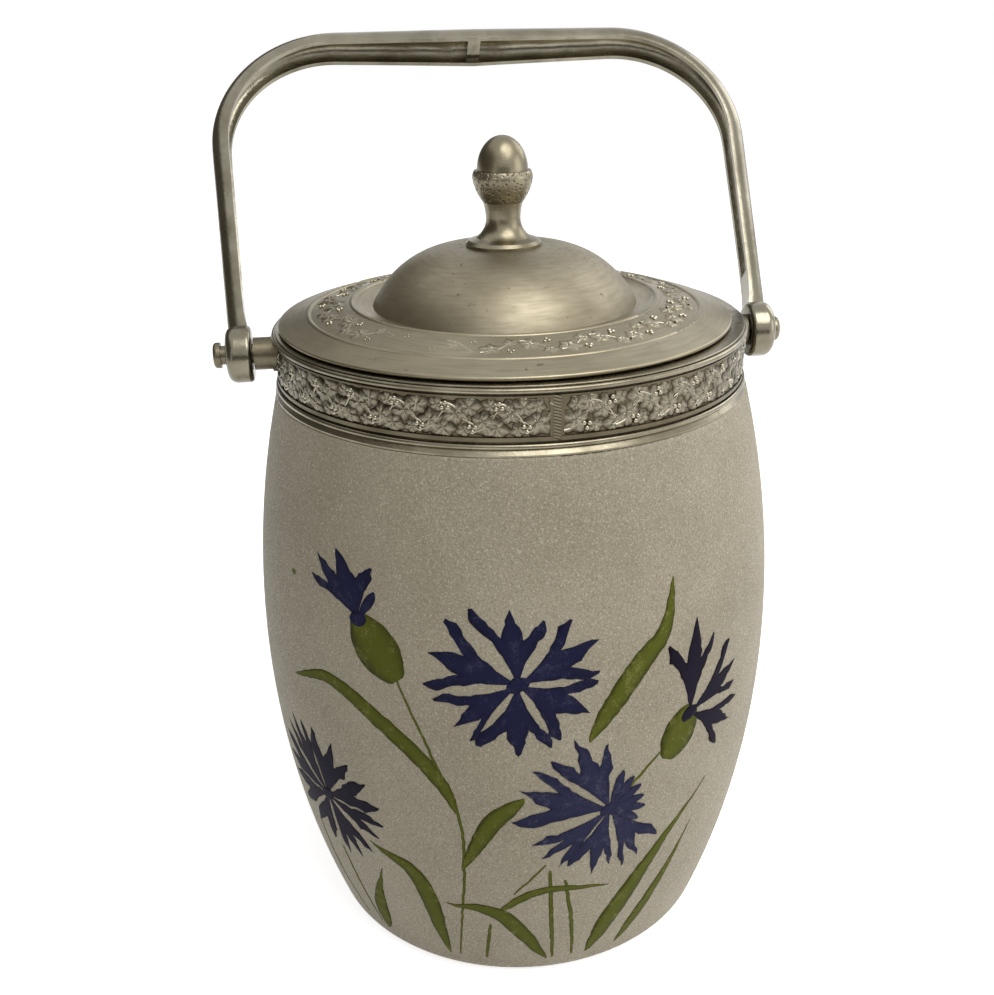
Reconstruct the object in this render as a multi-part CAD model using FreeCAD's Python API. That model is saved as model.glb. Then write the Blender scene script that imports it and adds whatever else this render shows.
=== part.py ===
import FreeCAD, Part
import math
import os

# Biscuit jar: a blown glass barrel with a metal collar, a lift-off lid and a swinging bail handle.
# Millimetres, +Z up. The origin is the centre of the resting face. X runs along the handle's pivot line
# and the front of the jar looks along -Y. The handle rests leaning back, towards +Y.

V = FreeCAD.Vector
AXIS_Z = V(0, 0, 1)
AXIS_X = V(1, 0, 0)
PARTS = "parts"

# Glass jar
belly_radius = 65.0
belly_height = 81.5
side_curve = 237.5
heel_radius = 6.0
glass_wall = 4.5
floor_thickness = 7.0
inner_heel_radius = 9.0
shoulder_height = 143.9
shoulder_round = 1.0
neck_step = 4.7
neck_wall = 3.6
inner_shoulder_drop = 8.0

# Collar, set in plaster on the neck, a little off centre as hand-set mounts are
collar_shift = -0.2
collar_height = 14.7
bedding_thickness = 2.2
band_sheet = 0.7
ledge_reach = 5.8
foot_flare = 1.7
foot_flare_height = 1.35
foot_edge = 0.35
foot_land = 0.9
bead_radius = 0.6
bead_block = 0.9
bead_gap = 0.5
rim_wire_height = 0.45
rim_wire_depth = 0.7

# Ivy frieze: two pressed strips between the beads, and the two strips that cover their ends
solder_film = 0.1
strip_sheet = 0.4
strip_ledge_height = 0.85
strip_ledge_depth = 0.5
strip_frame_height = 0.4
strip_frame_depth = 0.3
strip_gap = 0.5
cover_width = 1.5
cover_depth = 0.4
end_frame_width = 0.7
frieze_turn = 2.3

# Pivots
pivot_drop = 5.8
pivot_shift = -1.3
lug_radius = 3.8
lug_reach = 4.8
lug_base_radius = 4.3
lug_base_length = 1.2
pin_radius = 2.2
pin_depth = 2.4
pin_clearance = 0.05
head_radius = 3.0
head_length = 1.7
left_neck = 1.1
head_round = 0.9
side_gap = 0.3

# Bail handle
handle_lean = 41.5
eye_radius = 6.6
eye_width = 6.0
eye_inner_round = 1.0
eye_outer_round = 2.2
bail_height = 88.2
shoulder_bend = 32.0
leg_spread = 1.6
leg_inset = 0.5
leg_start = 4.0
leg_width = 6.6
leg_depth = 4.1
leg_flare = 1.2
leg_flare_length = 3.0
bar_width = 10.8
bar_depth = 5.6
bar_swell = 1.8
station_spacing = 5.5
channel_wall = 1.25
channel_start = 8.0
channel_overrun = 1.0
bridge_width = 3.2
bridge_recess = 1.3

# Lid, resting on the collar's ledge by the lip of its skirt
lid_shift = -1.3
lid_inset = 1.35
lid_edge_radius = 0.5
lid_edge_gap = 0.25
lid_sheet = 0.9
lid_seat_gap = 0.3
outer_ring_inset = 7.2
inner_ring_inset = 17.5
outer_ring_rise = 1.75
inner_ring_rise = 3.85
ring_width = 1.3
ring_height = 0.35
cove_drop = 1.05
cove_sag = 0.35
dome_radius = 31.2
dome_height = 13.0
dome_swell = 0.15
crown_flat_radius = 9.4
skirt_clearance = 1.9
skirt_sheet = 0.9
skirt_depth = 6.6
skirt_lip_reach = 4.2
skirt_lip_sheet = 0.7

# Acorn finial on its stud
foot_radius = 8.8
foot_edge_height = 1.4
stem_radius = 4.0
stem_waist_height = 6.3
stem_top_radius = 4.6
stem_height = 9.8
cup_radius = 6.95
cup_belly_height = 5.3
cup_top_radius = 6.5
cup_height = 7.0
acorn_radius = 5.85
acorn_height = 7.5
stud_radius = 1.5
stud_clearance = 0.0
stud_in_acorn = 3.5
washer_radius = 5.0
washer_thickness = 0.8
nut_across_flats = 6.4
nut_height = 2.6
stud_tail = 1.2

# Heights and radii that follow from the sizes above
side_centre_radius = belly_radius - side_curve


def side_radius_at(height, inset=0.0):
    """Radius of the barrel's side at a height, the inner side where inset is the wall."""
    reach = side_curve - inset
    return side_centre_radius + math.sqrt(reach ** 2 - (height - belly_height) ** 2)


shoulder_radius = side_radius_at(shoulder_height)
neck_radius = shoulder_radius - neck_step
neck_bore_radius = neck_radius - neck_wall
band_inner_radius = neck_radius + bedding_thickness
band_radius = band_inner_radius + band_sheet
collar_top = shoulder_height + collar_height
ledge_underside = collar_top - band_sheet
ledge_inner_radius = band_radius - ledge_reach
upper_bead_height = collar_top - rim_wire_height - bead_radius
lower_bead_height = shoulder_height + foot_flare_height + bead_radius
strip_bottom = lower_bead_height + bead_radius + bead_gap
strip_top = upper_bead_height - bead_radius - strip_gap
strip_back = band_radius + solder_film
strip_radius = strip_back + strip_sheet
pivot_height = collar_top - pivot_drop
lug_end = band_radius + lug_reach
eye_inner = lug_end + side_gap
eye_outer = eye_inner + eye_width
head_inner = eye_outer + side_gap
leg_foot_reach = eye_outer - leg_inset
bail_half_span = eye_outer + leg_spread
lid_radius = band_radius - lid_inset
lid_edge_height = collar_top + lid_edge_gap + lid_edge_radius
flange_top = lid_edge_height + lid_edge_radius
outer_ring_radius = lid_radius - outer_ring_inset
inner_ring_radius = lid_radius - inner_ring_inset
skirt_radius = neck_bore_radius - skirt_clearance
finial_seat = flange_top + inner_ring_rise - cove_drop + dome_height


def at(radius, height):
    return V(radius, 0, height)


def outline(start, *steps):
    """Face in the XZ plane. A step is the next point, or a pair: a point on an arc and the arc's end."""
    edges = []
    here = start
    for step in steps + (start,):
        if isinstance(step[0], tuple):
            through, end = step
            edges.append(Part.Arc(at(*here), at(*through), at(*end)).toShape())
        else:
            end = step
            if at(*here).distanceToPoint(at(*end)) > 1e-6:
                edges.append(Part.LineSegment(at(*here), at(*end)).toShape())
        here = end
    return Part.Face(Part.Wire(edges))


def turned(face, first=0.0, sweep=360.0):
    """Solid of revolution about Z, starting at an angle from +X."""
    placed = face.copy()
    placed.rotate(V(0, 0, 0), AXIS_Z, first)
    return placed.revolve(V(0, 0, 0), AXIS_Z, sweep)


def point_on_circle(centre, radius, degrees):
    angle = math.radians(degrees)
    return (centre[0] + radius * math.cos(angle), centre[1] + radius * math.sin(angle))


def bead(height, radius, block, inner_radius):
    """Half-round wire with a flat back, lying round the band."""
    low = height - radius
    high = height + radius
    nose = inner_radius + block
    return turned(outline((inner_radius, low), (nose, low), ((nose + radius, height), (nose, high)),
                          (inner_radius, high)))


def arc_between(centre, radius, first, last):
    """Two points that an outline step needs: the middle of an arc and its end, by angle."""
    return (point_on_circle(centre, radius, 0.5 * (first + last)), point_on_circle(centre, radius, last))


def heel(corner_radius, floor_height, inset):
    """Centre of a heel arc that touches a floor and the side, and the angle where it meets the side."""
    reach = side_curve - inset
    height = floor_height + corner_radius
    drop = height - belly_height
    radius = side_centre_radius + math.sqrt((reach - corner_radius) ** 2 - drop ** 2)
    meet = math.degrees(math.atan2(drop, radius - side_centre_radius))
    return (radius, height), meet


def glass_jar():
    side_centre = (side_centre_radius, belly_height)
    heel_centre, heel_meet = heel(heel_radius, 0.0, 0.0)
    inner_centre, inner_meet = heel(inner_heel_radius, floor_thickness, glass_wall)
    edge_height = shoulder_height - shoulder_round
    shoulder_edge = side_radius_at(edge_height)
    edge_angle = math.degrees(math.asin((edge_height - belly_height) / side_curve))
    bore_foot = shoulder_height - inner_shoulder_drop
    inner_reach = side_curve - glass_wall
    bore_angle = math.degrees(math.asin((bore_foot - belly_height) / inner_reach))
    corner = shoulder_round * math.sqrt(0.5)
    corner_middle = (shoulder_edge - shoulder_round + corner, edge_height + corner)
    bore_turn_height = shoulder_height + neck_wall
    bore_foot_radius = side_radius_at(bore_foot, glass_wall)
    middle_radius = 0.5 * (bore_foot_radius + neck_bore_radius) + 0.5 * neck_wall
    bore_middle = (min(middle_radius, bore_foot_radius - shoulder_round), 0.5 * (bore_foot + bore_turn_height))
    return turned(outline(
        (0, 0),
        (heel_centre[0], 0),
        arc_between(heel_centre, heel_radius, -90, heel_meet),
        arc_between(side_centre, side_curve, heel_meet, edge_angle),
        (corner_middle, (shoulder_edge - shoulder_round, shoulder_height)),
        (neck_radius, shoulder_height),
        (neck_radius, ledge_underside),
        (neck_bore_radius, ledge_underside),
        (neck_bore_radius, bore_turn_height),
        (bore_middle, (bore_foot_radius, bore_foot)),
        arc_between(side_centre, inner_reach, bore_angle, inner_meet),
        arc_between(inner_centre, inner_heel_radius, inner_meet, -90),
        (0, floor_thickness)))


def plaster_bedding(jar):
    ring = turned(outline((neck_bore_radius, shoulder_height), (band_inner_radius, shoulder_height),
                          (band_inner_radius, ledge_underside), (neck_bore_radius, ledge_underside)))
    ring.translate(V(collar_shift, 0, 0))
    core = Part.makeCylinder(neck_radius, collar_height, V(0, 0, shoulder_height))
    return ring.cut(core).cut(jar)


def collar_band():
    """Rolled band with a flared foot and a ledge turned in over the glass rim."""
    low = shoulder_height
    foot = band_radius + foot_flare
    land = band_radius + foot_land
    return turned(outline((band_inner_radius, low), (foot, low), (foot, low + foot_edge),
                          (land, low + foot_flare_height), (band_radius, low + foot_flare_height),
                          (band_radius, collar_top), (ledge_inner_radius, collar_top),
                          (ledge_inner_radius, ledge_underside), (band_inner_radius, ledge_underside)))


def collar_rim_wire():
    low = collar_top - rim_wire_height
    nose = band_radius + rim_wire_depth - 0.5 * rim_wire_height
    middle = (nose + 0.5 * rim_wire_height, low + 0.5 * rim_wire_height)
    return turned(outline((band_radius, low), (nose, low), (middle, (nose, collar_top)),
                          (band_radius, collar_top)))


def strip_section():
    ledge = strip_radius + strip_ledge_depth
    ledge_top = strip_bottom + strip_ledge_height
    frame = strip_radius + strip_frame_depth
    frame_low = strip_top - strip_frame_height
    return outline((strip_back, strip_bottom), (ledge, strip_bottom), (ledge, ledge_top),
                   (strip_radius, ledge_top), (strip_radius, frame_low), (frame, frame_low),
                   (frame, strip_top), (strip_back, strip_top))


def end_frame_section():
    frame = strip_radius + strip_frame_depth
    return outline((strip_back, strip_bottom), (frame, strip_bottom), (frame, strip_top),
                   (strip_back, strip_top))


def frieze_strip(first):
    """Half-round pressed strip from one end cover to the other, with an upright frame at each end."""
    cover_angle = math.degrees(cover_width / band_radius)
    frame_angle = math.degrees(end_frame_width / band_radius)
    start = first + 0.5 * cover_angle
    sweep = 180.0 - cover_angle
    strip = turned(strip_section(), start, sweep)
    for frame_start in (start, start + sweep - frame_angle):
        strip = strip.fuse(turned(end_frame_section(), frame_start, frame_angle))
    return strip.removeSplitter()


def frieze_cover(middle):
    """Narrow strip over the butted ends of the frieze."""
    cover_angle = math.degrees(cover_width / band_radius)
    depth = strip_radius + cover_depth
    section = outline((strip_back, strip_bottom), (depth, strip_bottom), (depth, strip_top),
                      (strip_back, strip_top))
    return turned(section, middle - 0.5 * cover_angle, cover_angle)


def lug(side, trims):
    """Short round arm on the collar, with a socket for the pivot pin."""
    root = band_inner_radius
    face = lug_end + side * (pivot_shift - collar_shift)
    base_end = strip_radius + lug_base_length
    arm = Part.makeCylinder(lug_radius, face - root, V(root, 0, pivot_height), AXIS_X)
    base = Part.makeCylinder(lug_base_radius, base_end - root, V(root, 0, pivot_height), AXIS_X)
    socket = Part.makeCylinder(pin_radius, pin_depth, V(face - pin_depth, 0, pivot_height), AXIS_X)
    core = Part.makeCylinder(strip_radius, collar_height, V(0, 0, shoulder_height))
    body = arm.fuse(base).removeSplitter().cut(socket).cut(core)
    if side < 0:
        body = body.mirror(V(0, 0, 0), AXIS_X)
    for trim in trims:
        body = body.cut(trim)
    return body


def pivot_pin(side):
    """Headed pin: its shank sits in the lug's socket and the handle's eye turns on it."""
    tip = lug_end - pin_depth
    head_start = head_inner + (left_neck if side < 0 else 0.0)
    head_end = head_start + head_length
    rounding = head_round * math.sqrt(0.5)
    corner = (head_end - head_round, head_radius - head_round)
    middle = (corner[0] + rounding, corner[1] + rounding)
    points = [(tip, 0), (tip, pin_radius), (head_start, pin_radius), (head_start, head_radius),
              (corner[0], head_radius)]
    edges = [Part.LineSegment(at(*a), at(*b)).toShape() for a, b in zip(points, points[1:])]
    edges.append(Part.Arc(at(*points[-1]), at(*middle), at(head_end, corner[1])).toShape())
    edges.append(Part.LineSegment(at(head_end, corner[1]), at(head_end, 0)).toShape())
    edges.append(Part.LineSegment(at(head_end, 0), at(tip, 0)).toShape())
    pin = Part.Face(Part.Wire(edges)).revolve(V(0, 0, 0), AXIS_X, 360)
    pin.translate(V(0, 0, pivot_height))
    return pin.mirror(V(0, 0, 0), AXIS_X) if side < 0 else pin


def bail_path():
    """Evenly spaced stations along the outside of the right half: point, outward angle and length run."""
    bend_centre = (bail_half_span - shoulder_bend, bail_height - shoulder_bend)
    foot = (leg_foot_reach, leg_start)
    to_centre = (bend_centre[0] - foot[0], bend_centre[1] - foot[1])
    distance = math.hypot(*to_centre)
    lean = math.atan2(to_centre[1], to_centre[0]) - math.asin(shoulder_bend / distance)
    leg_length = math.sqrt(distance ** 2 - shoulder_bend ** 2)
    first_angle = lean - 0.5 * math.pi
    bend_length = shoulder_bend * (0.5 * math.pi - first_angle)
    total = leg_length + bend_length + bend_centre[0]
    count = max(12, round(total / station_spacing))
    stations = []
    for step in range(count + 1):
        run = total * step / count
        if run < leg_length:
            point = (foot[0] + run * math.cos(lean), foot[1] + run * math.sin(lean))
            angle = first_angle
        elif run < leg_length + bend_length:
            angle = first_angle + (run - leg_length) / shoulder_bend
            point = point_on_circle(bend_centre, shoulder_bend, math.degrees(angle))
        else:
            angle = 0.5 * math.pi
            point = (total - run, bail_height)
        stations.append((point, angle, run))
    return stations


def half_round_wire(station, total, wall, overrun):
    """Half-ellipse section across the bail, its flat side inwards, thinned by a wall where it is hollow."""
    point, angle, run = station
    swell = (run / total) ** bar_swell
    flare = leg_flare * math.exp(-run / leg_flare_length)
    half_width = 0.5 * (leg_width + (bar_width - leg_width) * swell)
    depth = leg_depth + (bar_depth - leg_depth) * swell + flare
    outward = V(math.cos(angle), 0, math.sin(angle))
    across = V(0, 1, 0)
    centre = V(point[0], 0, point[1]) - outward * depth
    arc_points = []
    arc_steps = 8
    for step in range(arc_steps + 1):
        turn = math.pi * (step / arc_steps - 0.5)
        arc_points.append(centre + outward * ((depth - wall) * math.cos(turn))
                          + across * ((half_width - wall) * math.sin(turn)))
    curve = Part.BSplineCurve()
    curve.interpolate(arc_points)
    first, last = arc_points[0], arc_points[-1]
    low_last = last - outward * overrun
    low_first = first - outward * overrun
    edges = [curve.toShape()]
    if overrun > 0:
        edges.append(Part.LineSegment(last, low_last).toShape())
        edges.append(Part.LineSegment(low_last, low_first).toShape())
        edges.append(Part.LineSegment(low_first, first).toShape())
    else:
        edges.append(Part.LineSegment(last, first).toShape())
    return Part.Wire(edges)


def bail_channel():
    """The hollow of the right half, from just above the eye to the centre line."""
    stations = bail_path()
    total = stations[-1][2]
    hollow = [s for s in stations if s[2] > channel_start]
    return Part.makeLoft([half_round_wire(s, total, channel_wall, channel_overrun) for s in hollow], True)


def handle_half(channel):
    """Right half: an eye on the pivot line, a leg and half of the bar, cast in one."""
    stations = bail_path()
    total = stations[-1][2]
    bar = Part.makeLoft([half_round_wire(s, total, 0.0, 0.0) for s in stations], True).cut(channel)
    inner = point_on_circle((eye_inner + eye_inner_round, eye_radius - eye_inner_round), eye_inner_round, 135)
    outer = point_on_circle((eye_outer - eye_outer_round, eye_radius - eye_outer_round), eye_outer_round, 45)
    bore = pin_radius + pin_clearance
    section = outline((eye_inner, bore), (eye_inner, eye_radius - eye_inner_round),
                      (inner, (eye_inner + eye_inner_round, eye_radius)),
                      (eye_outer - eye_outer_round, eye_radius),
                      (outer, (eye_outer, eye_radius - eye_outer_round)), (eye_outer, bore))
    eye = section.revolve(V(0, 0, 0), AXIS_X, 360)
    hole = Part.makeCylinder(bore, eye_width, V(eye_inner, 0, 0), AXIS_X)
    return bar.fuse(eye).cut(hole)


def handle_bridge(channel):
    """Solder block that ties the two halves together inside the channel."""
    block = Part.makeBox(bridge_width, bar_width, bar_depth,
                         V(-0.5 * bridge_width, -0.5 * bar_width, bail_height - bar_depth + bridge_recess))
    right = channel.common(block)
    return right.fuse(right.mirror(V(0, 0, 0), AXIS_X)).removeSplitter()


def place_handle(shape):
    placed = shape.copy()
    placed.translate(V(0, 0, pivot_height))
    placed.rotate(V(0, 0, pivot_height), AXIS_X, -handle_lean)
    return placed


def flange_underside(radius):
    """Height of the flange's sloping underside at a radius."""
    outer = lid_radius - 2 * lid_edge_radius
    inner = inner_ring_radius
    slope = (inner_ring_rise + lid_edge_radius) / (outer - inner)
    return lid_edge_height - 0.5 * lid_edge_radius + (outer - radius) * slope


def lid_flange():
    """Pressed flange with a rolled edge, two raised rings and the cove that the dome stands in."""
    roll = lid_radius - lid_edge_radius
    under = lid_radius - 2 * lid_edge_radius
    half = 0.5 * ring_width
    outer_ring = flange_top + outer_ring_rise
    inner_ring = flange_top + inner_ring_rise
    dome_foot = inner_ring - cove_drop
    cove_end = inner_ring_radius - half
    cove_middle = (0.5 * (cove_end + dome_radius), 0.5 * (inner_ring + dome_foot) - cove_sag)
    return turned(outline(
        (dome_radius, dome_foot - lid_sheet),
        (inner_ring_radius, flange_underside(inner_ring_radius)),
        (under, flange_underside(under)),
        (roll, lid_edge_height - lid_edge_radius),
        ((lid_radius, lid_edge_height), (roll, flange_top)),
        (outer_ring_radius + half, outer_ring),
        ((outer_ring_radius, outer_ring + ring_height), (outer_ring_radius - half, outer_ring)),
        (inner_ring_radius + half, inner_ring),
        ((inner_ring_radius, inner_ring + ring_height), (cove_end, inner_ring)),
        (cove_middle, (dome_radius, dome_foot))))


def lid_dome():
    """Spun dome with a small flat crown that carries the finial."""
    foot = finial_seat - dome_height
    chord = math.hypot(dome_radius - crown_flat_radius, dome_height)
    middle = (0.5 * (dome_radius + crown_flat_radius), foot + 0.5 * dome_height)
    normal = (dome_height / chord, (dome_radius - crown_flat_radius) / chord)
    swell = dome_swell * chord
    outer = (middle[0] + swell * normal[0], middle[1] + swell * normal[1])
    inner = (outer[0] - lid_sheet * normal[0], outer[1] - lid_sheet * normal[1])
    hole = stud_radius + stud_clearance
    return turned(outline((dome_radius, foot - lid_sheet), (dome_radius, foot),
                          (outer, (crown_flat_radius, finial_seat)), (hole, finial_seat),
                          (hole, finial_seat - lid_sheet), (crown_flat_radius, finial_seat - lid_sheet),
                          (inner, (dome_radius - lid_sheet, foot - lid_sheet))))


def lid_skirt():
    """Locating ring under the flange, with the lip that rests on the collar's ledge."""
    inner = skirt_radius - skirt_sheet
    lip_low = collar_top + lid_seat_gap
    lip_end = skirt_radius + skirt_lip_reach
    return turned(outline((inner, collar_top - skirt_depth), (skirt_radius, collar_top - skirt_depth),
                          (skirt_radius, lip_low), (lip_end, lip_low),
                          (lip_end, min(lip_low + skirt_lip_sheet, flange_underside(lip_end))),
                          (skirt_radius, min(lip_low + skirt_lip_sheet, flange_underside(skirt_radius))),
                          (skirt_radius, flange_underside(skirt_radius)), (inner, flange_underside(inner))))


def finial_stem():
    hole = stud_radius + stud_clearance
    base = finial_seat
    waist = base + stem_waist_height
    top = base + stem_height
    edge = base + foot_edge_height
    neck_start = (0.5 * (foot_radius + stem_radius), edge + 0.4 * foot_edge_height)
    sweep_middle = (stem_radius + 0.22 * (foot_radius - stem_radius), base + 0.5 * stem_waist_height)
    top_middle = (stem_radius + 0.3 * (stem_top_radius - stem_radius), 0.5 * (waist + top))
    return turned(outline((hole, base), (foot_radius, base), (foot_radius, base + 0.5 * foot_edge_height),
                          (foot_radius - 0.5 * foot_edge_height, edge), neck_start,
                          (sweep_middle, (stem_radius, waist)), (top_middle, (stem_top_radius, top)),
                          (hole, top)))


def acorn_cup():
    hole = stud_radius + stud_clearance
    base = finial_seat + stem_height
    belly = base + cup_belly_height
    top = base + cup_height
    lower = (stem_top_radius + 0.62 * (cup_radius - stem_top_radius), base + 0.45 * cup_belly_height)
    upper = (cup_radius - 0.18 * (cup_radius - cup_top_radius), 0.5 * (belly + top))
    return turned(outline((hole, base), (stem_top_radius, base), (lower, (cup_radius, belly)),
                          (upper, (cup_top_radius, top)), (hole, top)))


def acorn_nut():
    """Smooth nut of the acorn, a half ellipsoid with the stud's blind hole."""
    base = finial_seat + stem_height + cup_height
    ball = Part.makeSphere(1.0)
    stretch = FreeCAD.Matrix()
    stretch.scale(acorn_radius, acorn_radius, acorn_height)
    nut = ball.transformGeometry(stretch)
    nut.translate(V(0, 0, base))
    keep = Part.makeCylinder(2 * acorn_radius, 2 * acorn_height, V(0, 0, base))
    hole = Part.makeCylinder(stud_radius + stud_clearance, stud_in_acorn, V(0, 0, base))
    return nut.common(keep).cut(hole)


def nut_height_low():
    return finial_seat - lid_sheet - washer_thickness - nut_height


def finial_stud():
    low = nut_height_low() - stud_tail
    high = finial_seat + stem_height + cup_height + stud_in_acorn
    return Part.makeCylinder(stud_radius, high - low, V(0, 0, low))


def finial_washer():
    low = finial_seat - lid_sheet - washer_thickness
    disc = Part.makeCylinder(washer_radius, washer_thickness, V(0, 0, low))
    return disc.cut(Part.makeCylinder(stud_radius + stud_clearance, washer_thickness, V(0, 0, low)))


def finial_nut():
    low = nut_height_low()
    corner = 0.5 * nut_across_flats / math.cos(math.pi / 6)
    points = [V(corner * math.cos(k * math.pi / 3), corner * math.sin(k * math.pi / 3), low) for k in range(7)]
    hexagon = Part.Face(Part.makePolygon(points)).extrude(V(0, 0, nut_height))
    return hexagon.cut(Part.makeCylinder(stud_radius + stud_clearance, nut_height, V(0, 0, low)))


def save(name, shape):
    solid = shape
    if shape.ShapeType != "Solid" and len(shape.Solids) == 1:
        solid = shape.Solids[0]
    solid.exportStep(os.path.join(PARTS, name + ".step"))
    print(name, "solids", len(shape.Solids), "valid", shape.isValid(), "volume", round(shape.Volume, 1))


def moved(shape, shift):
    placed = shape.copy()
    placed.translate(V(shift, 0, 0))
    return placed


def main():
    os.makedirs(PARTS, exist_ok=True)
    jar = glass_jar()
    save("glass_jar", jar)
    save("plaster_bedding", plaster_bedding(jar))

    upper_bead = bead(upper_bead_height, bead_radius, bead_block, band_radius)
    rim_wire = collar_rim_wire()
    right_strip = frieze_strip(frieze_turn - 90.0)
    left_strip = frieze_strip(frieze_turn + 90.0)
    collar = {
        "collar_band": collar_band(),
        "collar_rim_wire": rim_wire,
        "collar_upper_bead": upper_bead,
        "collar_lower_bead": bead(lower_bead_height, bead_radius, bead_block, band_radius),
        "frieze_strip_right": right_strip,
        "frieze_strip_left": left_strip,
        "frieze_cover_front": frieze_cover(frieze_turn - 90.0),
        "frieze_cover_rear": frieze_cover(frieze_turn + 90.0),
        "lug_right": lug(1, (upper_bead, rim_wire, right_strip)),
        "lug_left": lug(-1, (upper_bead, rim_wire, left_strip)),
    }
    for name, shape in collar.items():
        save(name, moved(shape, collar_shift))
    save("pivot_pin_right", moved(pivot_pin(1), pivot_shift))
    save("pivot_pin_left", moved(pivot_pin(-1), pivot_shift))

    channel = bail_channel()
    right_half = handle_half(channel)
    handle = {
        "handle_half_right": right_half,
        "handle_half_left": right_half.mirror(V(0, 0, 0), AXIS_X),
        "handle_bridge": handle_bridge(channel),
    }
    for name, shape in handle.items():
        save(name, moved(place_handle(shape), pivot_shift))

    lid = {
        "lid_flange": lid_flange(),
        "lid_dome": lid_dome(),
        "lid_skirt": lid_skirt(),
        "finial_stem": finial_stem(),
        "acorn_cup": acorn_cup(),
        "acorn_nut": acorn_nut(),
        "finial_stud": finial_stud(),
        "finial_washer": finial_washer(),
        "finial_nut": finial_nut(),
    }
    for name, shape in lid.items():
        save(name, moved(shape, lid_shift))


main()
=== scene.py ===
# %% [markdown]
# # A biscuit jar: frosted glass, pewter mounts and a painted cornflower spray
#
# The solid model comes first and is never changed here. It brings the jar, the collar, the lid and the
# handle at their real size, in metres, with the resting face at the origin and the front towards -Y.
# This lesson dresses it: finishes for every part, pressed ivy on the collar and the lid, and enamel
# flowers on the glass.

# %% Load the frame and a tool to measure its parts
import math
import random

import bmesh
import bpy
from mathutils import Matrix, Vector, noise


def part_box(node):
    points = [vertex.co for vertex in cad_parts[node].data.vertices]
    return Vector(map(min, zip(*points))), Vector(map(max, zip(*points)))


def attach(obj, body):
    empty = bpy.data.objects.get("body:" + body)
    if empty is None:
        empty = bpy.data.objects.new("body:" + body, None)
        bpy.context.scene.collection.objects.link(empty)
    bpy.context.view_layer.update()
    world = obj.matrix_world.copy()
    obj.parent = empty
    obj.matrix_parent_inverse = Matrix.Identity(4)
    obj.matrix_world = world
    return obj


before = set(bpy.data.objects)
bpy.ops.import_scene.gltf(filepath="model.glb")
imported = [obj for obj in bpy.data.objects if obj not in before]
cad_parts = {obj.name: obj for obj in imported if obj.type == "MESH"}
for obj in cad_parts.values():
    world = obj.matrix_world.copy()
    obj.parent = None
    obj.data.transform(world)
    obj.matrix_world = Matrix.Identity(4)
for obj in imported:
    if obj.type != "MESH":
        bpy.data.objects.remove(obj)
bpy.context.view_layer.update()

MM = 0.001

# %% [markdown]
# ## Tools for finishes
#
# A finish is a small network of shader nodes. Wired by hand in the editor it soon becomes a web that
# nobody can read, so here it is written as sums. One class wraps a socket, and each operator used on
# it adds a Math node.

# %% Sockets as values
class Value:
    """A socket's output that can be used in sums."""

    def __init__(self, network, socket):
        self.network = network
        self.socket = socket

    def maths(self, operation, first, second):
        return self.network.node("ShaderNodeMath", {"operation": operation}, {0: first, 1: second})

    def __add__(self, other):
        return self.maths("ADD", self, other)

    def __radd__(self, other):
        return self.maths("ADD", other, self)

    def __sub__(self, other):
        return self.maths("SUBTRACT", self, other)

    def __rsub__(self, other):
        return self.maths("SUBTRACT", other, self)

    def __mul__(self, other):
        return self.maths("MULTIPLY", self, other)

    def __rmul__(self, other):
        return self.maths("MULTIPLY", other, self)

    def __pow__(self, other):
        return self.maths("POWER", self, other)


print("sums on sockets ready")

# %% [markdown]
# Every node comes from one method. It takes the node's type, its settings, such as a ramp's stops,
# which are set first, and the values or links of its sockets. The world has nodes as a material does,
# so the method sits in a class that both can use. The same class says which rays look at a surface,
# because the floor and the world shall look white and still light the jar softly.

# %% A network of nodes
class Network:
    """A node tree and the means to add to it."""

    def __init__(self, tree):
        self.tree = tree

    def node(self, kind, settings=None, sockets=None, output=0):
        made = self.tree.nodes.new(kind)
        for name, value in (settings or {}).items():
            if name == "stops":
                for element, (position, level) in zip(made.color_ramp.elements, value):
                    element.position = position
                    element.color = (level, level, level, 1)
            else:
                setattr(made, name, value)
        for key, value in (sockets or {}).items():
            if isinstance(value, Value):
                self.tree.links.new(value.socket, made.inputs[key])
            else:
                made.inputs[key].default_value = value
        return Value(self, made.outputs[output])

    def looked_at(self):
        """1 where the camera, a reflection or a refraction looks, 0 where light is gathered."""
        rays = self.node("ShaderNodeLightPath").socket.node.outputs
        seen = Value(self, rays["Is Camera Ray"])
        for kind in ("Is Glossy Ray", "Is Transmission Ray"):
            seen = seen.maths("MAXIMUM", seen, Value(self, rays[kind]))
        return seen


print("node method ready")

# %% [markdown]
# A finish owns a material. Constants go on the principled shader's own sockets, and only what changes
# over the surface is fed by nodes. Patterns read Object coordinates, which are metres on the real jar,
# so a noise scale of 1000 means grains of about one millimetre.

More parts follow.
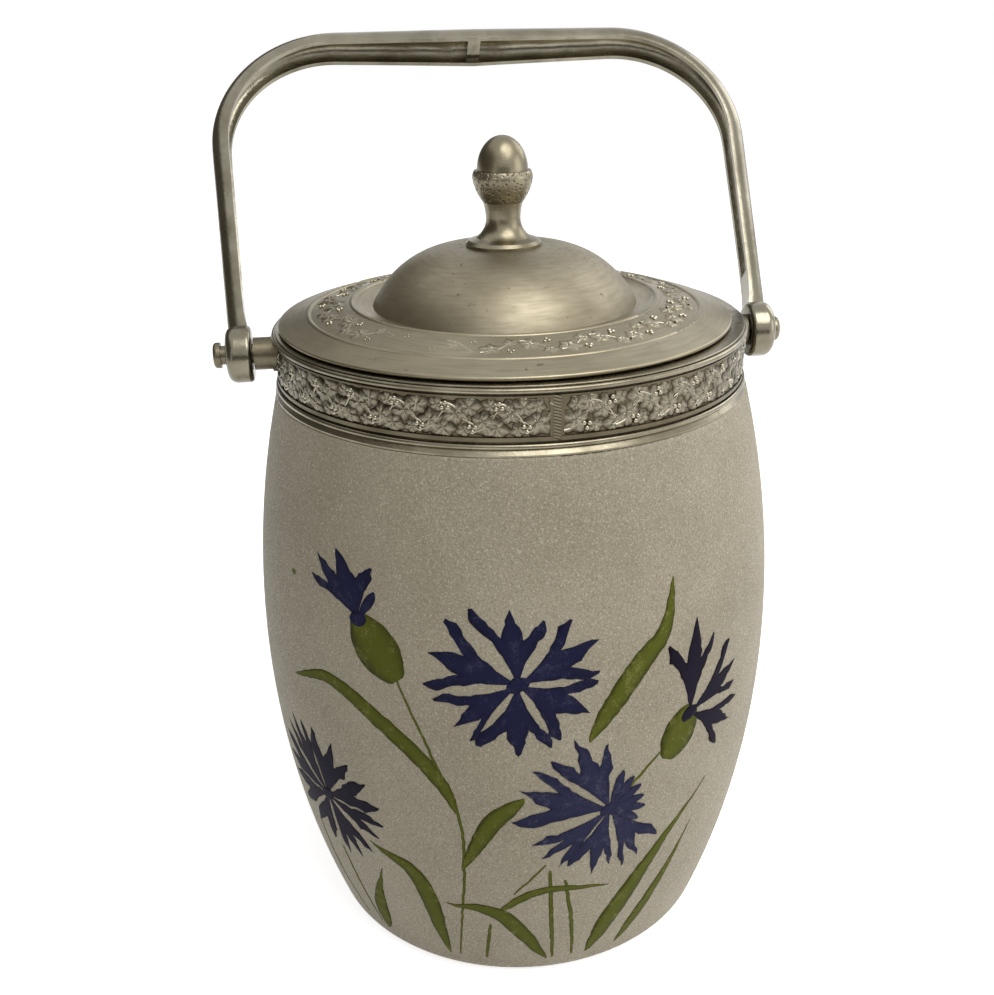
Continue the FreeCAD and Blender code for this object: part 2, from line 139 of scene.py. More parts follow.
# %% A finish
class Finish(Network):
    """A material, its principled shader and the nodes that feed it."""

    def __init__(self, name, **constants):
        self.material = bpy.data.materials.new(name)
        self.material.use_nodes = True
        super().__init__(self.material.node_tree)
        self.shader = self.tree.nodes["Principled BSDF"]
        for socket, value in constants.items():
            self.shader.inputs[socket.replace("_", " ")].default_value = value

    def place(self):
        return self.node("ShaderNodeTexCoord", output="Object")

    def parts_of(self, vector):
        split = self.node("ShaderNodeSeparateXYZ", {}, {0: vector})
        outputs = split.socket.node.outputs
        return [Value(self, outputs[axis]) for axis in range(3)]

    def joined(self, x, y, z):
        return self.node("ShaderNodeCombineXYZ", {}, {0: x, 1: y, 2: z})

    def grain(self, vector, scale, detail=2.0, roughness=0.5):
        sockets = {"Vector": vector, "Scale": scale, "Detail": detail, "Roughness": roughness}
        return self.node("ShaderNodeTexNoise", {}, sockets, "Fac")

    def steps(self, value, low, high):
        """A ramp between two stops, each a position and the level reached there."""
        return self.node("ShaderNodeValToRGB", {"stops": (low, high)}, {"Fac": value}, "Color")

    def between(self, factor, first, second):
        return self.node("ShaderNodeMix", {"data_type": "RGBA"}, {0: factor, 6: first, 7: second}, 2)

    def attribute(self, name):
        return self.node("ShaderNodeAttribute", {"attribute_name": name}, output="Fac")

    def bump(self, height, depth, strength):
        sockets = {"Height": height, "Distance": depth, "Strength": strength}
        return self.node("ShaderNodeBump", {}, sockets, "Normal")

    def feed(self, **links):
        for socket, value in links.items():
            self.tree.links.new(value.socket, self.shader.inputs[socket.replace("_", " ")])
        return self.material


print("finish class ready")

# %% [markdown]
# Colours are judged on a screen, where a channel runs from 0 to 255, but shaders want linear light.
# One function converts them, so that each finish is written in the numbers that a colour picker shows.

# %% Screen colours
def tone(red, green, blue):
    """A colour as it looks on screen, 0 to 255, turned to the linear values that shaders use."""
    linear = []
    for channel in (red, green, blue):
        share = channel / 255
        linear.append(share / 12.92 if share <= 0.04045 else ((share + 0.055) / 1.055) ** 2.4)
    return (*linear, 1)


print("screen mid grey is", round(tone(128, 128, 128)[0], 3), "in linear light")

# %% [markdown]
# ## Glass and metal
#
# The glass was rolled in fine grains before it was worked again, so it is matt and sugary: a beige grey
# with pin-point glints. Real clear glass with a rough coat would cost much light and still look smooth.
# Two sizes of noise on an opaque body give the grain, and a broad one gives cloudy patches.
# The pits where the coarse grain is lowest are painted darker, a painted shade. The grains that
# stand highest are smoother and painted paler than their neighbours, a painted glint.

# %% Grained glass
FINE_GRAIN = 2600
COARSE_GRAIN = 1700
CLOUDS = 38
GRAIN_DEPTH = 0.2 * MM


def grained_glass():
    glass = Finish("grained glass", Specular_IOR_Level=0.45)
    spot = glass.place()
    fine = glass.grain(spot, FINE_GRAIN, 1.5)
    coarse = glass.grain(spot, COARSE_GRAIN, 3.0, 0.7)
    cloud = glass.steps(glass.grain(spot, CLOUDS, 4.0, 0.6), (0.3, 0.0), (0.7, 1.0))
    # painted glint: where the fine grain stands highest, the colour is painted paler in place of a
    # highlight
    painted_glint = glass.steps(fine, (0.54, 0.0), (0.70, 1.0))
    # painted shade: where the coarse grain is lowest, the pits are painted darker
    painted_pit_shade = glass.steps(coarse, (0.34, 1.0), (0.52, 0.0))
    body = glass.between(cloud, tone(158, 148, 126), tone(175, 165, 143))
    # painted shade: the pits take a darker colour
    with_painted_pit_shade = glass.between(painted_pit_shade * 0.42, body, tone(120, 110, 90))
    # painted glint: the highest grains take a pale colour
    lit = glass.between(painted_glint * 0.5, with_painted_pit_shade, tone(222, 214, 192))
    return glass.feed(Base_Color=lit, Roughness=0.62 - painted_glint * 0.34 + painted_pit_shade * 0.1,
                      Normal=glass.bump(fine * 0.6 + coarse, GRAIN_DEPTH, 0.9))


GRAINED_GLASS = grained_glass()
print("made", GRAINED_GLASS.name)

# %% [markdown]
# The mounts are a white metal like pewter, worn to a soft olive grey. Metal shows mostly what it
# reflects, so a flat grey would look like plastic: the finish is in the roughness. Clouds are handling
# marks, stains are dull and brown, and hairlines are noise stretched along one direction, which costs
# less than scratches drawn one by one. Five parts take it in slightly different greys.

# %% Plain pewter
HAIRLINES = 5200
HAIRLINE_DEPTH = 0.05 * MM
STAIN = tone(98, 90, 72)


def hairlines(metal, spot):
    """Fine scratches in two directions."""
    x, y, z = metal.parts_of(spot)
    along = metal.grain(metal.joined(x * 240, y * 240, z * HAIRLINES), 1.0, 2.0)
    across = metal.grain(metal.joined((x + z) * HAIRLINES, y * 260, (x - z) * 260), 1.0, 2.0)
    return along * 0.5 + across * 0.5


def pewter(name, pale, dark, roughness, wear):
    metal = Finish(name, Metallic=1.0)
    spot = metal.place()
    cloud = metal.grain(spot, 70, 4.0, 0.6)
    stain = metal.steps(metal.grain(spot, 160, 5.0, 0.65), (0.52, 0.0), (0.72, 1.0))
    body = metal.between(metal.steps(cloud, (0.3, 0.0), (0.7, 1.0)), tone(*pale), tone(*dark))
    relief = hairlines(metal, spot) + metal.grain(spot, 420, 2.0) * 1.2
    return metal.feed(Base_Color=metal.between(stain * wear, body, STAIN),
                      Roughness=roughness + stain * 0.14 + (cloud - 0.5) * 0.22,
                      Normal=metal.bump(relief, HAIRLINE_DEPTH, 0.5))


COLLAR_PEWTER = pewter("collar pewter", (150, 143, 124), (112, 105, 87), 0.26, 0.5)
FRIEZE_GROUND = pewter("frieze ground pewter", (116, 108, 89), (84, 76, 60), 0.4, 0.7)
HANDLE_PEWTER = pewter("handle pewter", (150, 145, 129), (112, 106, 90), 0.2, 0.5)
PIVOT_PEWTER = pewter("pivot pewter", (132, 126, 109), (98, 90, 73), 0.32, 0.6)
FINIAL_PEWTER = pewter("finial pewter", (146, 139, 118), (112, 104, 84), 0.3, 0.5)
print("five plain pewters made")

# %% [markdown]
# The lid was spun on a lathe, and the tool left marks that run round its centre. An anisotropic shader
# would stretch the highlights, but the export can't carry it, so noise is laid out by radius and turn
# and given a tiny bump. The lid sits a little to the left of the jar's axis, and so do its rings.

# %% Spun pewter
LID_CENTRE = -1.3 * MM
RING_MARKS = 3400
STREAKS = 1500
RING_DEPTH = 0.02 * MM


def spun_pewter(name, pale, dark, roughness):
    metal = Finish(name, Metallic=1.0)
    spot = metal.place()
    x, y, z = metal.parts_of(spot)
    east = x - LID_CENTRE
    radius = (east * east + y * y) ** 0.5
    turn = y.maths("ARCTAN2", y, east)
    rings = metal.grain(metal.joined(radius * RING_MARKS, z * RING_MARKS, turn * 1.3), 1.0, 3.0, 0.6)
    streaks = metal.grain(metal.joined(radius * STREAKS, z * STREAKS, turn * 5.0), 1.0, 2.0)
    cloud = metal.steps(metal.grain(spot, 60, 4.0, 0.6), (0.32, 0.0), (0.7, 1.0))
    speck = metal.steps(metal.grain(spot, 520, 3.0), (0.68, 0.0), (0.76, 1.0))
    body = metal.between(cloud, tone(*pale), tone(*dark))
    streaked = metal.between(metal.steps(streaks, (0.4, 0.0), (0.75, 0.45)), body, tone(116, 108, 90))
    specked = metal.between(speck * 0.6, streaked, tone(70, 62, 48))
    return metal.feed(Base_Color=specked, Roughness=roughness + (streaks - 0.5) * 0.12 + speck * 0.2,
                      Normal=metal.bump(rings, RING_DEPTH, 0.35))


FLANGE_PEWTER = spun_pewter("spun flange pewter", (160, 152, 130), (138, 130, 108), 0.38)
DOME_PEWTER = spun_pewter("spun dome pewter", (154, 146, 126), (128, 120, 101), 0.47)
print("two spun pewters made")

# %% [markdown]
# Two small parts were cut by hand. The strips over the frieze's joins have close, slightly slanting
# ribs, and the acorn's cup was dotted all over with a punch. Neither is deeper than a fifth of a
# millimetre, so a bump is enough, and what sells it is that the low places are darker: the grooves
# between the ribs all by the same amount, and the cup's dots by the dirt that stayed in them.

# %% Ribbed and stippled pewter
RIB_PITCH = 1500
RIB_SLANT = 500
RIB_DEPTH = 0.2 * MM
PUNCH_MARKS = 1150.0
PUNCH_DEPTH = 0.18 * MM


def ribbed_pewter():
    metal = Finish("ribbed cover pewter", Metallic=1.0)
    spot = metal.place()
    x, y, z = metal.parts_of(spot)
    wander = metal.grain(spot, 700, 2.0) * 0.5
    rib = z.maths("PINGPONG", z * RIB_PITCH + x * RIB_SLANT + wander, 0.5) * 2
    groove = metal.steps(rib, (0.15, 1.0), (0.6, 0.0))
    # the grooves between the ribs are darker, all by the same amount
    colour = metal.between(groove * 0.85, tone(116, 109, 92), tone(46, 40, 31))
    return metal.feed(Base_Color=colour, Roughness=0.34 + groove * 0.2,
                      Normal=metal.bump(rib, RIB_DEPTH, 0.8))


def stippled_pewter():
    metal = Finish("stippled cup pewter", Metallic=1.0)
    spot = metal.place()
    sockets = {"Vector": spot, "Scale": PUNCH_MARKS}
    dots = metal.node("ShaderNodeTexVoronoi", {"feature": "F1"}, sockets, "Distance")
    hollow = metal.steps(dots, (0.12, 1.0), (0.42, 0.0))
    grime = metal.steps(metal.grain(spot, 260, 4.0), (0.35, 0.25), (0.7, 1.0))
    colour = metal.between(hollow * grime, tone(142, 134, 114), tone(62, 55, 42))
    return metal.feed(Base_Color=colour, Roughness=0.34 + hollow * 0.2,
                      Normal=metal.bump(1 - hollow, PUNCH_DEPTH, 0.8))


COVER_PEWTER = ribbed_pewter()
CUP_PEWTER = stippled_pewter()
print("made", COVER_PEWTER.name, "and", CUP_PEWTER.name)

# %% [markdown]
# Pressed ivy is dark where it is low and bright where hands and polish rubbed it. A pointiness node
# could find the crests, but it depends on the mesh and the export loses it. The leaves know their own
# height when they are made, so they keep it in an attribute, "crest", and the finish reads that.
# The berries write painted light into the same attribute: a painted highlight on their side that faces
# out and up, and painted shade on the other.

# %% Pressed pewter
PRESSED_ROUGHNESS = 0.36
PRESSED_DEPTH = 0.06 * MM


def pressed_pewter(name, low, high):
    metal = Finish(name, Metallic=1.0)
    spot = metal.place()
    # crest: the height of leaves and stems, rubbed bright; on the berries it is painted highlight and
    # painted shade
    patchy = metal.attribute("crest") + (metal.grain(spot, 900, 2.0) - 0.5) * 0.3
    rubbed = metal.steps(patchy, (0.2, 0.0), (0.75, 1.0))
    return metal.feed(Base_Color=metal.between(rubbed, tone(*low), tone(*high)),
                      Roughness=PRESSED_ROUGHNESS - rubbed * 0.12,
                      Normal=metal.bump(metal.grain(spot, 1300, 2.0), PRESSED_DEPTH, 0.5))


COLLAR_IVY = pressed_pewter("collar ivy pewter", (66, 59, 46), (164, 157, 138))
LID_IVY = pressed_pewter("lid ivy pewter", (128, 120, 100), (188, 181, 160))
print("two pressed pewters made")

# %% [markdown]
# The small hidden parts are seen when the lid is lifted: plaster under the collar, a steel stud and a
# brass washer and nut below the acorn. One noise each is enough for something so small.

# %% Plaster, steel and brass
def matt_plaster():
    plaster = Finish("old plaster")
    crumb = plaster.grain(plaster.place(), 900, 4.0)
    colour = plaster.between(crumb, tone(196, 188, 168), tone(160, 150, 128))
    return plaster.feed(Base_Color=colour, Roughness=0.8 + crumb * 0.15,
                        Normal=plaster.bump(crumb, 0.3 * MM, 0.7))


def turned_metal(name, pale, dark):
    metal = Finish(name, Metallic=1.0)
    dull = metal.grain(metal.place(), 500, 3.0)
    return metal.feed(Base_Color=metal.between(dull, tone(*pale), tone(*dark)),
                      Roughness=0.3 + dull * 0.25, Normal=metal.bump(dull, 0.04 * MM, 0.5))


OLD_PLASTER = matt_plaster()
STUD_STEEL = turned_metal("stud steel", (150, 148, 142), (96, 90, 80))
NUT_BRASS = turned_metal("nut brass", (176, 146, 84), (112, 88, 46))
print("plaster, steel and brass made")

# %% [markdown]
# Each solid part now gets its finish. The list is written out part by part, so that a part that is
# added later and forgotten here stops the script, where a default finish would hide the slip.

# %% Hand the finishes to the parts
FINISH_OF_NODE = {
    "glass_jar": GRAINED_GLASS, "plaster_bedding": OLD_PLASTER,
    "collar_band": COLLAR_PEWTER, "collar_rim_wire": COLLAR_PEWTER,
    "collar_upper_bead": COLLAR_PEWTER, "collar_lower_bead": COLLAR_PEWTER,
    "frieze_strip_right": FRIEZE_GROUND, "frieze_strip_left": FRIEZE_GROUND,
    "frieze_cover_front": COVER_PEWTER, "frieze_cover_rear": COVER_PEWTER,
    "lug_right": PIVOT_PEWTER, "lug_left": PIVOT_PEWTER,
    "pivot_pin_right": PIVOT_PEWTER, "pivot_pin_left": PIVOT_PEWTER,
    "handle_half_right": HANDLE_PEWTER, "handle_half_left": HANDLE_PEWTER,
    "handle_bridge": HANDLE_PEWTER,
    "lid_flange": FLANGE_PEWTER, "lid_dome": DOME_PEWTER, "lid_skirt": FLANGE_PEWTER,
    "finial_stem": FINIAL_PEWTER, "acorn_cup": CUP_PEWTER, "acorn_nut": FINIAL_PEWTER,
    "finial_stud": STUD_STEEL, "finial_washer": NUT_BRASS, "finial_nut": NUT_BRASS,
}
for node_name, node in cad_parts.items():
    node.data.materials.clear()
    node.data.materials.append(FINISH_OF_NODE[node_name])
print("finished nodes", len(FINISH_OF_NODE))

# %% [markdown]
# ## Making a piece
#
# Petals, leaves, stems: every new piece is a bmesh grid whose corners are moved to where the real
# surface is. Lists of vertices and faces written by hand could do the same, but a grid keeps its faces
# tidy by itself. Corners that meet are merged, the patch is turned to face outwards, and an attribute
# for the finish is set on the way.

# %% A patch that is moved into place
MEETING_CORNERS = 2e-6


def patch(bm, columns, rows, place, layer, outwards):
    """Grid whose corners go to place(across, along), across from -1 to 1 and along from 0 to 1."""
    corners = bmesh.ops.create_grid(bm, x_segments=columns, y_segments=rows, size=0.5)["verts"]
    for corner in corners:
        corner.co, corner[layer] = place(2 * corner.co.x, corner.co.y + 0.5)
    faces = list({face for corner in corners for face in corner.link_faces})
    bmesh.ops.remove_doubles(bm, verts=corners, dist=MEETING_CORNERS)
    faces = [face for face in faces if face.is_valid]
    bmesh.ops.recalc_face_normals(bm, faces=faces)
    facing = 0.0
    for face in faces:
        facing += face.normal.dot(outwards(face.calc_center_median())) * face.calc_area()
    if facing < 0:
        bmesh.ops.reverse_faces(bm, faces=faces)


print("patch ready")

# %% [markdown]
# A finished piece rides on one body, so that it moves with the jar or with the lid. Its object stays at
# the origin and the place is in its mesh. Enamel gets a thickness from a Solidify modifier, which grows
# inwards from the painted surface, and the ivy is relief sunk into its ground and needs none.

# %% Hand a piece to its body
def finished(bm, name, body, material, thickness=0.0):
    mesh = bpy.data.meshes.new(name)
    bm.to_mesh(mesh)
    bm.free()
    mesh.materials.append(material)
    mesh.polygons.foreach_set("use_smooth", [True] * len(mesh.polygons))
    piece = bpy.data.objects.new(name, mesh)
    bpy.context.scene.collection.objects.link(piece)
    if thickness:
        wall = piece.modifiers.new("film", "SOLIDIFY")
        wall.thickness = thickness
        wall.offset = -1
    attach(piece, body)
    print(name, "faces", len(mesh.polygons))


print("hand-over ready")

# %% [markdown]
# ## Painted cornflowers
#
# The spray was brushed on in enamel. It could be a picture wrapped round the jar, but a picture has no
# body and blurs close up, so each petal and leaf is a thin film of its own. The spray is drawn flat,
# with one axis in degrees of turn from the front and the other the height in millimetres, and each
# patch is then wrapped on the barrel's curve, whose radius at a height comes from one circle.

# %% Wrapping a flat drawing on the barrel
BELLY_RADIUS = 65.0
BELLY_HEIGHT = 81.5
SIDE_CURVE = 237.5
TURN_WIDTH = 1.1


def glass_radius(height):
    """Radius of the barrel in millimetres."""
    return BELLY_RADIUS - SIDE_CURVE + math.sqrt(SIDE_CURVE ** 2 - (height - BELLY_HEIGHT) ** 2)


def flat(spot):
    """A spot given by turn and height, on the flat drawing in millimetres."""
    return Vector((spot[0] * TURN_WIDTH, spot[1]))


def wrapped(point, lift):
    """Where a point of the flat drawing lies on the glass, in metres."""
    height = point.y
    reach = glass_radius(height) + lift
    turn = math.radians(point.x / TURN_WIDTH)
    return Vector((reach * math.sin(turn), -reach * math.cos(turn), height)) * MM


def from_axis(place):
    """Straight out from the jar's axis."""
    return Vector((place.x, place.y, 0)).normalized()


print("belly radius mm", round(glass_radius(BELLY_HEIGHT), 2))

# %% [markdown]
# A hand never draws a clean edge. Random numbers would tear neighbouring corners apart, so the wobble
# comes from smooth noise, which changes little from one spot to the next. This noise takes its start
# from the clock unless it is given a seed, and without one the flowers would differ at each run.

# %% The hand's wobble
WOBBLES_PER_MM = 0.55
WOBBLE_LAYER = 3.7
WOBBLE_SEED = 5
noise.seed_set(WOBBLE_SEED)


def brush_wobble(point, amount):
    spot = Vector((point.x * WOBBLES_PER_MM, point.y * WOBBLES_PER_MM, WOBBLE_LAYER))
    shift = noise.noise_vector(spot)
    return Vector((shift.x, shift.y)) * amount


print("wobble at the belly mm", round(brush_wobble(Vector((0, BELLY_HEIGHT)), 1.0).length, 2))

# %% [markdown]
# A cornflower's outer petal is a fan from the flower's heart that opens to two, three or four pointed
# lobes. It could be cut from a sheet lobe by lobe, but one grid bent into a fan keeps its edge smooth
# and closed. The tips are given: a turn and a reach are read between them, and the reach falls to a
# notch half way from one tip to the next. The attribute "edge" rises to 1 towards the petal's rim.

# %% A petal
NOTCH = 0.4
NOTCH_ROUNDING = 0.85
FAN_OPENING = 1.5
COLUMNS_PER_LOBE = 10
PETAL_ROWS = 14
PETAL_WOBBLE = 0.7
HEART_GAP = 0.02


def read_between(values, position):
    """Value at a position where value k sits at k, carried on past both ends."""
    lower = min(max(math.floor(position), 0), len(values) - 2)
    return values[lower] + (values[lower + 1] - values[lower]) * (position - lower)


def turns_of(arms):
    """The arms' directions, each less than half a turn from the one before."""
    turns = [math.atan2(arms[0].y, arms[0].x)]
    for arm in arms[1:]:
        step = math.atan2(arm.y, arm.x) - turns[-1]
        turns.append(turns[-1] + (step + math.pi) % (2 * math.pi) - math.pi)
    return turns


def petal(bm, layer, heart, tips, lift, waist, overhang):
    """waist is how wide the petal starts, and overhang how far it goes on past its outer tips."""
    centre = flat(heart)
    arms = [flat(tip) - centre for tip in tips]
    turns = turns_of(arms)
    reaches = [arm.length for arm in arms]
    middle = 0.5 * (turns[0] + turns[-1])
    span = len(tips) - 1 + 2 * overhang

    def place(across, along):
        position = 0.5 * (across + 1) * span - overhang
        share = 2 * abs(position - min(max(round(position), 0), len(tips) - 1))
        reach = read_between(reaches, position) * (1 - NOTCH * share ** NOTCH_ROUNDING)
        fan = waist + (1 - waist) * along ** FAN_OPENING
        turn = middle + (read_between(turns, position) - middle) * fan
        arm = Vector((math.cos(turn), math.sin(turn))) * reach
        point = centre + arm * (HEART_GAP + (1 - HEART_GAP) * along)
        point += brush_wobble(point, PETAL_WOBBLE * along)
        return wrapped(point, lift), max(abs(across) ** 5, along ** 8)

    patch(bm, COLUMNS_PER_LOBE * len(tips), PETAL_ROWS, place, layer, from_axis)


print("petal ready")

# %% [markdown]
# Leaves, stems, bud cups and the short inner florets are single strokes of a loaded brush: they swell
# where the hair is pressed down and end in a point where it lifts. A curve object with a bevel would be
# round, so the stroke is a flat grid that follows a smooth path through a few spots and takes its
# width from a sine.

# %% A brush stroke
STROKE_COLUMNS = 4
ROWS_PER_SPAN = 12
STROKE_FULLNESS = 0.75
STROKE_WOBBLE = 0.3
LOOK_AHEAD = 0.01


def path_point(points, share):
    """Point on the smooth curve through a few spots, by share of its spans."""
    spots = [flat(spot) for spot in points]
    spots = [2 * spots[0] - spots[1]] + spots + [2 * spots[-1] - spots[-2]]
    spans = len(points) - 1
    place = min(share * spans, spans - 1e-6)
    start = int(place)
    t = place - start
    a, b, c, d = spots[start:start + 4]
    return 0.5 * (2 * b + (c - a) * t + (2 * a - 5 * b + 4 * c - d) * t * t
                  + (3 * b - a - 3 * c + d) * t ** 3)


def stroke(bm, layer, points, width, lift, blunt, belly=0.5):
    """Widest at the share belly of its run. blunt is 0 for pointed ends and 1 for square ones."""
    swell_power = math.log(0.5) / math.log(belly)

    def place(across, along):
        here = path_point(points, along)
        ahead = path_point(points, min(along + LOOK_AHEAD, 1.0))
        behind = path_point(points, max(along - LOOK_AHEAD, 0.0))
        run = (ahead - behind).normalized()
        side = Vector((-run.y, run.x))
        swell = max(math.sin(math.pi * min(along, 1.0) ** swell_power), 0.0) ** STROKE_FULLNESS
        half = 0.5 * width * (blunt + (1 - blunt) * swell)
        point = here + side * half * across + brush_wobble(here, STROKE_WOBBLE)
        return wrapped(point, lift), abs(across) ** 3

    patch(bm, STROKE_COLUMNS, ROWS_PER_SPAN * (len(points) - 1), place, layer, from_axis)


def short_stroke(bm, layer, start, end, width, lift, blunt, belly=0.5):
    """A straight stroke from one spot to another."""
    middle = (0.5 * (start[0] + end[0]), 0.5 * (start[1] + end[1]))
    stroke(bm, layer, [start, middle, end], width, lift, blunt, belly)


print("brush stroke ready")

# %% [markdown]
# Enamel dries darker at the edge of a stroke and thin where the brush ran out. Plain colours would look
# like stickers, so the attribute "edge" darkens the rim, and noise lets a paler, worn tone through.
# No two flowers have quite the same colour, so there are three blues, and one green for all leaves.

# %% Enamel finishes
EDGE_STRENGTH = 0.8
BRUSH_STREAKS = 330
ENAMEL_GRIT = 2400
ENAMEL_DEPTH = 0.1 * MM


def enamel(name, body, dark, thin, thinness):
    paint = Finish(name, Specular_IOR_Level=0.08)
    spot = paint.place()
    edge = paint.attribute("edge")
    streak = paint.grain(spot, BRUSH_STREAKS, 4.0, 0.65)
    grit = paint.grain(spot, ENAMEL_GRIT, 2.0)
    worn = paint.steps(streak + (grit - 0.5) * 0.6, (0.54, 0.0), (0.78, thinness))
    rimmed = paint.between(edge * EDGE_STRENGTH, tone(*body), tone(*dark))
    return paint.feed(Base_Color=paint.between(worn, rimmed, tone(*thin)), Roughness=0.5 + grit * 0.35,
                      Normal=paint.bump(grit * 0.8 + streak * 0.4, ENAMEL_DEPTH, 0.6))


BLUE_ENAMEL = enamel("cornflower enamel", (33, 34, 63), (20, 20, 41), (76, 75, 101), 0.6)
FADED_ENAMEL = enamel("faded cornflower enamel", (48, 49, 76), (30, 30, 54), (100, 98, 118), 0.75)
SHADE_ENAMEL = enamel("plum cornflower enamel", (24, 18, 36), (14, 10, 21), (52, 45, 62), 0.25)
LEAF_ENAMEL = enamel("leaf enamel", (94, 98, 34), (44, 46, 14), (140, 138, 78), 0.75)
print("four enamels made")

# %% [markdown]
# A flower is one mesh: its petals, laid at three slightly different heights so that no two films lie
# in the same place, its florets above them, and a dab of paint over the heart. Petals are given by
# their tips, and a petal with a single tip is one of the short inner florets.

# %% A painted flower
PETAL_LIFT = 0.06
LIFT_STEP = 0.01
FLORET_LIFT = 0.03
HEART_LIFT = 0.04
PETAL_FILM = 0.04 * MM
FLORET_WIDTH = 2.4
HEART_WIDTH = 3.6


def painted_flower(name, heart, petals, material, waist, overhang=0.2, lift=PETAL_LIFT):
    bm = bmesh.new()
    layer = bm.verts.layers.float.new("edge")
    for number, tips in enumerate(petals):
        if len(tips) == 1:
            short_stroke(bm, layer, heart, tips[0], FLORET_WIDTH, lift + FLORET_LIFT, 0.1, 0.62)
        else:
            petal(bm, layer, heart, tips, lift + LIFT_STEP * (number % 3), waist, overhang)
    east, up = heart
    dab = [(east - 2, up - 1), heart, (east + 2, up + 1)]
    stroke(bm, layer, dab, HEART_WIDTH, lift + HEART_LIFT, 0.3)
    finished(bm, name, "jar", material, PETAL_FILM)


print("flower ready")

# %% [markdown]
# The open flower in the middle looks straight at us. Its six petals are nearly alike on the real jar,
# and one petal turned six times would be quick, but the painter's differences are what make it look
# painted. So each petal has its own three tips, in degrees of turn and millimetres of height.

# %% The open flower
OPEN_HEART = (-7.0, 95.0)
OPEN_PETALS = (
    ((-22, 110.5), (-24.5, 102), (-26.5, 94)), ((-16.5, 113), (-8.5, 112.5), (-1.5, 110)),
    ((4, 110), (9, 104.5), (9.5, 96.5)), ((9.5, 94), (7, 87), (1.5, 80)),
    ((-0.5, 78), (-7, 76.5), (-15.5, 78.5)), ((-17, 80), (-19.5, 84), (-24, 90)),
)
painted_flower("open_cornflower", OPEN_HEART, OPEN_PETALS, BLUE_ENAMEL, 0.58)

# %% [markdown]
# The lower flower is turned aside, so its petals are long on the left and hidden on the right, where
# six short inner florets stand up instead. It was painted over the open flower's lowest petal, and
# lies a little higher than that one for the same reason.

# %% The lower flower
LOWER_HEART = (12.0, 59.0)
LOWER_PETALS = (
    ((-1, 76), (4, 80.5), (10.5, 78.5)), ((-5, 73.5), (-7, 67.5), (-9.5, 58)),
    ((-5, 50), (-2.5, 46), (1, 42.5)), ((3, 42), (9, 38.5), (13, 40)),
    ((17, 38), (20, 41), (25.5, 45)),
    ((14.5, 69.5),), ((17, 67),), ((19, 64),), ((20, 60.5),), ((20.5, 57),), ((19, 53.5),),
)
painted_flower("lower_cornflower", LOWER_HEART, LOWER_PETALS, FADED_ENAMEL, 0.7,
               overhang=0.28, lift=PETAL_LIFT + 0.05)

# %% [markdown]
# The third flower is round on the left, where the barrel turns away and the paint is a dark plum. Its
# petals are narrow, most with two tips, so they get a wider waist and overhang to keep the flower
# full. Its far side is out of sight in the only view there is, and follows the near side.

# %% The flower round on the left
LEFT_HEART = (-55.0, 51.5)
LEFT_PETALS = (
    ((-69, 66), (-66, 70), (-61.5, 71)), ((-57, 71), (-50, 69.5), (-45.5, 66)),
    ((-41, 62), (-37.5, 55.5)), ((-37.5, 50), (-39.5, 45)),
    ((-43, 38.5), (-47, 34.5), (-52, 33)), ((-58, 34), (-64, 37)), ((-70, 41), (-73, 48)),
    ((-74, 54), (-73, 61)),
)
painted_flower("left_cornflower", LEFT_HEART, LEFT_PETALS, SHADE_ENAMEL, 0.76, overhang=0.38)

# %% [markdown]
# Two buds are just opening. A bud's petals fan out to one side of its green cup, so the same function
# makes them, with the heart where the petals leave the cup and all the tips above it.

# %% The two buds' petals
LEFT_BUD_PETALS = (((-54, 113), (-52, 118), (-46.5, 121), (-37, 119)), ((-36, 113),))
RIGHT_BUD_PETALS = (
    ((24.5, 99), (32, 103), (37.5, 98)), ((43.5, 93.5), (45.5, 86), (46.5, 80)),
    ((48, 75), (45, 70), (41, 65)),
)
painted_flower("left_bud_petals", (-40.0, 106.0), LEFT_BUD_PETALS, BLUE_ENAMEL, 0.75)
painted_flower("right_bud_petals", (30.5, 79.0), RIGHT_BUD_PETALS, SHADE_ENAMEL, 0.5)

# %% [markdown]
# All the green is one mesh of brush strokes. A leaf is its path, its width and where it is widest; a
# stem is its path and width. The greens lie lower than the blues, because stems run under petals, and
# the two bud cups cover the ends of both. The last stem is a stray dab high on the left.

# %% Leaves, stems and cups
LEAVES = (
    (((-61, 84), (-47, 88), (-31, 78), (-23, 68), (-19.5, 59)), 4.4, 0.5),
    (((26, 114.5), (23.5, 103), (17.5, 96), (11, 86.5), (7, 79)), 5.4, 0.55),
    (((-6, 65), (-13, 57), (-20, 41.5)), 4.8, 0.45),
    (((-43, 43), (-31, 35), (-27, 6.5)), 5.4, 0.6),
    (((-41.5, 34), (-46, 20), (-48, 6.5)), 5.4, 0.7),
    (((-25, 28.5), (-12, 26), (0, 6.5)), 4.8, 0.62),
    (((-12, 28), (-2, 35), (14, 33.5)), 2.6, 0.35),
    (((38.5, 56.5), (27, 42.5), (18, 25), (11, 6.5)), 6.4, 0.72),
    (((36, 44), (28, 24), (20, 6.5)), 4.0, 0.66),
)
STEMS = (
    (((-31.5, 94), (-25, 77), (-19.5, 58), (-19.5, 42), (-21, 27), (-24, 7)), 0.75),
    (((23, 71.5), (17.5, 65.5), (14, 61)), 0.8),
    (((-0.5, 42), (0.5, 23), (1.5, 7)), 1.2), (((3, 38), (5.5, 22), (7, 7)), 1.1),
    (((-14.5, 22), (-16.5, 7)), 1.0), (((-1.5, 44), (-8.5, 34)), 0.6),
    (((-55, 34), (-53, 22.5), (-50, 8)), 0.9), (((-64, 38), (-62, 22), (-56, 8)), 0.9),
    (((-60.5, 111), (-59.5, 110)), 1.3),
)
CUPS = (((-40.5, 106.5), (-31, 93.5), 11.5), ((31, 81), (25, 68.5), 10.0))
STEM_LIFT = 0.025
LEAF_LIFT = 0.03
LEAF_LIFT_STEP = 0.006
CUP_LIFT = 0.05
LEAF_FILM = 0.02 * MM


